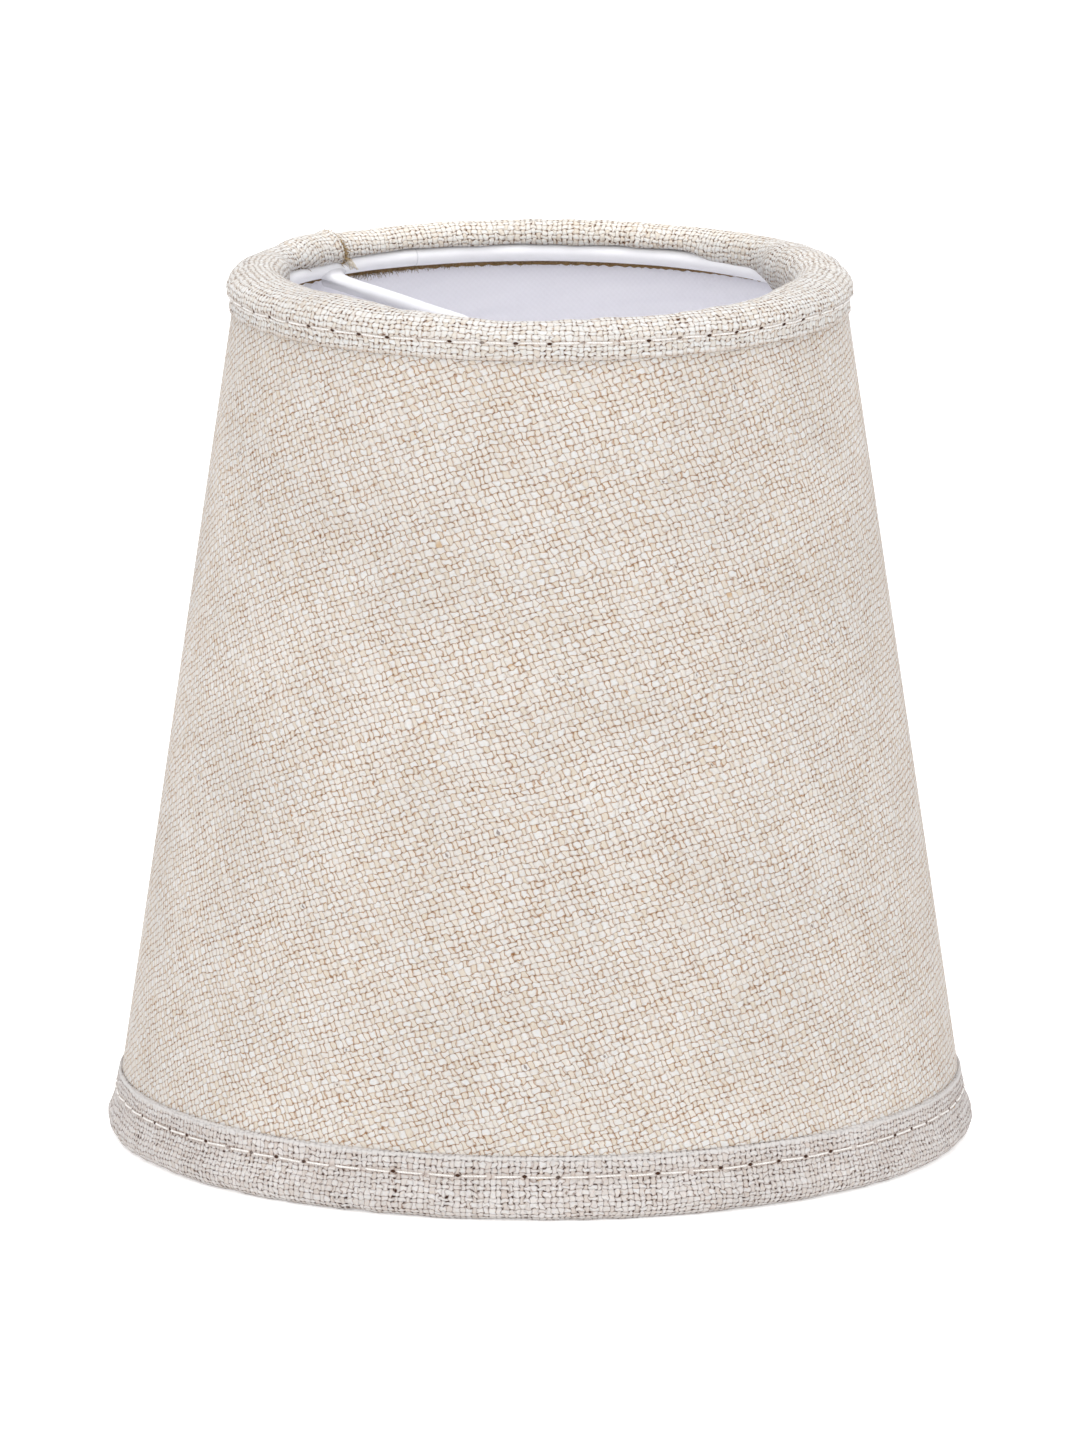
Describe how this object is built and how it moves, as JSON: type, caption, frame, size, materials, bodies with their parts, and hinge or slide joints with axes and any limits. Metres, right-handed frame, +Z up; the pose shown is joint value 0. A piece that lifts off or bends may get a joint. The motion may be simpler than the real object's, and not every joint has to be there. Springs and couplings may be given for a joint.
{
  "type": "lamp shade",
  "caption": "Small empire lamp shade: tapered linen cover on a plastic liner and wire rings, with a tilting clip that grips a candle bulb.",
  "frame": {"origin": "centre of the bottom rim, on the plane that the shade stands on", "axes": "+Z up along the shade's axis; the fitter arms lie along X, and the clip tilts about X"},
  "size_m": [0.15, 0.15, 0.1509],
  "materials": {
    "linen_cover": "natural plain-weave linen, matte",
    "linen_trim": "natural plain-weave linen, matte",
    "stitch_thread": "cream sewing thread",
    "coated_wire": "white satin coating on steel wire",
    "liner_plastic": "translucent white sheet, satin",
    "seam_tape": "translucent white tape",
    "clip_steel": "zinc-plated steel, satin",
    "hoop_wire": "plated spring wire, satin"
  },
  "bodies": {
    "shade": {"cover_fabric": "linen_cover", "liner": "liner_plastic", "seam_tape": "seam_tape", "top_trim": "linen_trim", "bottom_trim": "linen_trim", "top_trim_stitching": "stitch_thread", "bottom_trim_stitching": "stitch_thread", "top_ring": "coated_wire", "bottom_ring": "coated_wire", "arm_right": "coated_wire", "arm_left": "coated_wire", "pivot_rivet_right": "clip_steel", "pivot_rivet_left": "clip_steel", "friction_washer_right": "clip_steel", "friction_washer_left": "clip_steel"},
    "clip": {"clip_saddle": "clip_steel"},
    "back_jaw": {"hoop_back": "hoop_wire"},
    "front_jaw": {"hoop_front": "hoop_wire"}
  },
  "joints": [
    {"name": "clip_tilt", "type": "hinge", "parent": "shade", "child": "clip", "pos_m": [0, 0, 0.131], "axis": [1, 0, 0], "range_deg": [-20, 20]},
    {"name": "back_hoop_open", "type": "hinge", "parent": "clip", "child": "back_jaw", "pos_m": [0, 0.0036, 0.126], "axis": [1, 0, 0], "range_deg": [0, 15], "stiffness_Nm_per_rad": 0.3},
    {"name": "front_hoop_open", "type": "hinge", "parent": "clip", "child": "front_jaw", "pos_m": [0, -0.0036, 0.126], "axis": [-1, 0, 0], "range_deg": [0, 15], "stiffness_Nm_per_rad": 0.3}
  ]
}
